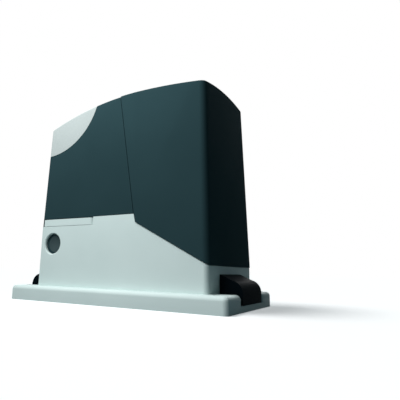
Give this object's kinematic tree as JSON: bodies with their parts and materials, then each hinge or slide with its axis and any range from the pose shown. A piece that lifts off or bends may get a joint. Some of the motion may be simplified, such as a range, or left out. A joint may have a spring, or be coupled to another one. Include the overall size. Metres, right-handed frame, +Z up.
{
  "type": "sliding gate motor",
  "caption": "Motor for a sliding gate: cast base with end caps, key-locked release lever, lift-off cover, worm drive and a toothed pinion on the gate side.",
  "frame": {"origin": "middle of the base plate's underside", "axes": "+X along the gate's travel, to the right seen from the front; +Y from the front to the gate side, where the pinion is; +Z up"},
  "size_m": [0.33, 0.21, 0.2967],
  "materials": {
    "cast_paint": "die-cast, satin painted",
    "cover_plastic": "fine grain",
    "panel_plastic": "satin",
    "cap_plastic": "satin",
    "lever_paint": "die-cast, satin painted",
    "steel": "machined",
    "zinc_steel": "zinc plated",
    "black_steel": "black oxide",
    "bronze": "machined",
    "aluminium": "as cast",
    "copper": "drawn",
    "black_rubber": "matt",
    "board_green": "solder mask",
    "terminal_green": "moulded",
    "relay_black": "moulded",
    "tape_yellow": "steel core and copper winding under tape",
    "graphite": "pressed",
    "laminations": "stacked sheets",
    "lock_plastic": "satin",
    "ferrite": "sintered"
  },
  "bodies": {
    "base": {"base_casting": "cast_paint", "gearcase_cover": "aluminium", "output_bearing_front": "steel", "output_bearing_rear": "steel", "oil_seal": "black_rubber", "motor_flange": "aluminium", "motor_can": "zinc_steel", "motor_magnets": "ferrite", "motor_brushes": "graphite", "motor_end_cap": "aluminium", "motor_bearing": "steel", "worm_bearing_lower": "steel", "worm_bearing_upper": "steel", "encoder_board": "board_green", "motor_screws": "zinc_steel", "lock_barrel": "zinc_steel", "limit_switch": "cap_plastic", "board_tray": "cap_plastic", "control_board": "board_green", "terminal_blocks": "terminal_green", "relays": "relay_black", "capacitor": "relay_black", "radio_module": "board_green", "board_screws": "zinc_steel", "transformer": "tape_yellow", "transformer_clamp": "zinc_steel", "transformer_bolt": "zinc_steel", "levelling_screws": "zinc_steel", "gearcase_screws": "zinc_steel"},
    "output": {"output_shaft": "steel", "worm_wheel": "bronze", "wheel_spacer": "steel", "drive_pinion": "steel", "pinion_key": "steel", "pinion_washer": "zinc_steel", "pinion_bolt": "zinc_steel", "release_spring": "steel"},
    "rotor": {"worm_shaft": "steel", "armature": "laminations", "commutator": "copper", "encoder_magnet": "ferrite"},
    "lever": {"release_lever": "lever_paint", "release_cam": "steel"},
    "clutch": {"release_plunger": "steel", "clutch_pin": "steel"},
    "lock": {"lock_plug": "zinc_steel", "lock_tongue": "zinc_steel", "lock_clip": "zinc_steel"},
    "lock_shutter": {"lock_cover": "lock_plastic"},
    "cover": {"motor_cover": "cover_plastic", "control_cover": "cover_plastic", "cover_skirt": "cover_plastic", "corner_panel": "panel_plastic", "cover_screws": "black_steel", "cover_nuts": "zinc_steel"},
    "limit_stem": {"limit_switch_stem": "zinc_steel"},
    "cap_right": {"end_cap_right": "cap_plastic"},
    "cap_left": {"end_cap_left": "cap_plastic"}
  },
  "joints": [
    {"name": "output_spin", "type": "hinge", "parent": "base", "child": "output", "pos_m": [-0.038, 0, 0.08], "axis": [0, 1, 0], "continuous": true},
    {"name": "rotor_spin", "type": "hinge", "parent": "base", "child": "rotor", "pos_m": [0.022, 0.012, 0.08], "axis": [0, 0, 1], "continuous": true},
    {"name": "release_swing", "type": "hinge", "parent": "base", "child": "lever", "pos_m": [-0.038, -0.0655, 0.08], "axis": [0, 0, 1], "range_deg": [0, 90]},
    {"name": "clutch_slide", "type": "slide", "parent": "output", "child": "clutch", "axis": [0, 1, 0], "range_m": [0, 0.008], "deforming": ["release_spring"]},
    {"name": "lock_turn", "type": "hinge", "parent": "base", "child": "lock", "pos_m": [-0.1045, -0.0552, 0.0793], "axis": [0, -1, 0], "range_deg": [0, 90]},
    {"name": "lock_cover_slide", "type": "slide", "parent": "base", "child": "lock_shutter", "axis": [1, 0, 0], "range_m": [0, 0.03]},
    {"name": "cover_lift", "type": "slide", "parent": "base", "child": "cover", "axis": [0, 0, 1], "range_m": [0, 0.225]},
    {"name": "limit_stem_swing", "type": "hinge", "parent": "base", "child": "limit_stem", "pos_m": [-0.038, 0.075, 0.152], "axis": [0, 0, 1], "range_deg": [-25, 25], "stiffness_Nm_per_rad": 0.05},
    {"name": "cap_right_lift", "type": "slide", "parent": "base", "child": "cap_right", "axis": [0.7071, 0, 0.7071], "range_m": [0, 0.035]},
    {"name": "cap_left_lift", "type": "slide", "parent": "base", "child": "cap_left", "axis": [-0.7071, 0, 0.7071], "range_m": [0, 0.035]}
  ],
  "couplings": [
    {"joint": "rotor_spin", "follows": "output_spin", "ratio": 36},
    {"joint": "clutch_slide", "follows": "release_swing", "m_per_rad": 0.005093}
  ]
}
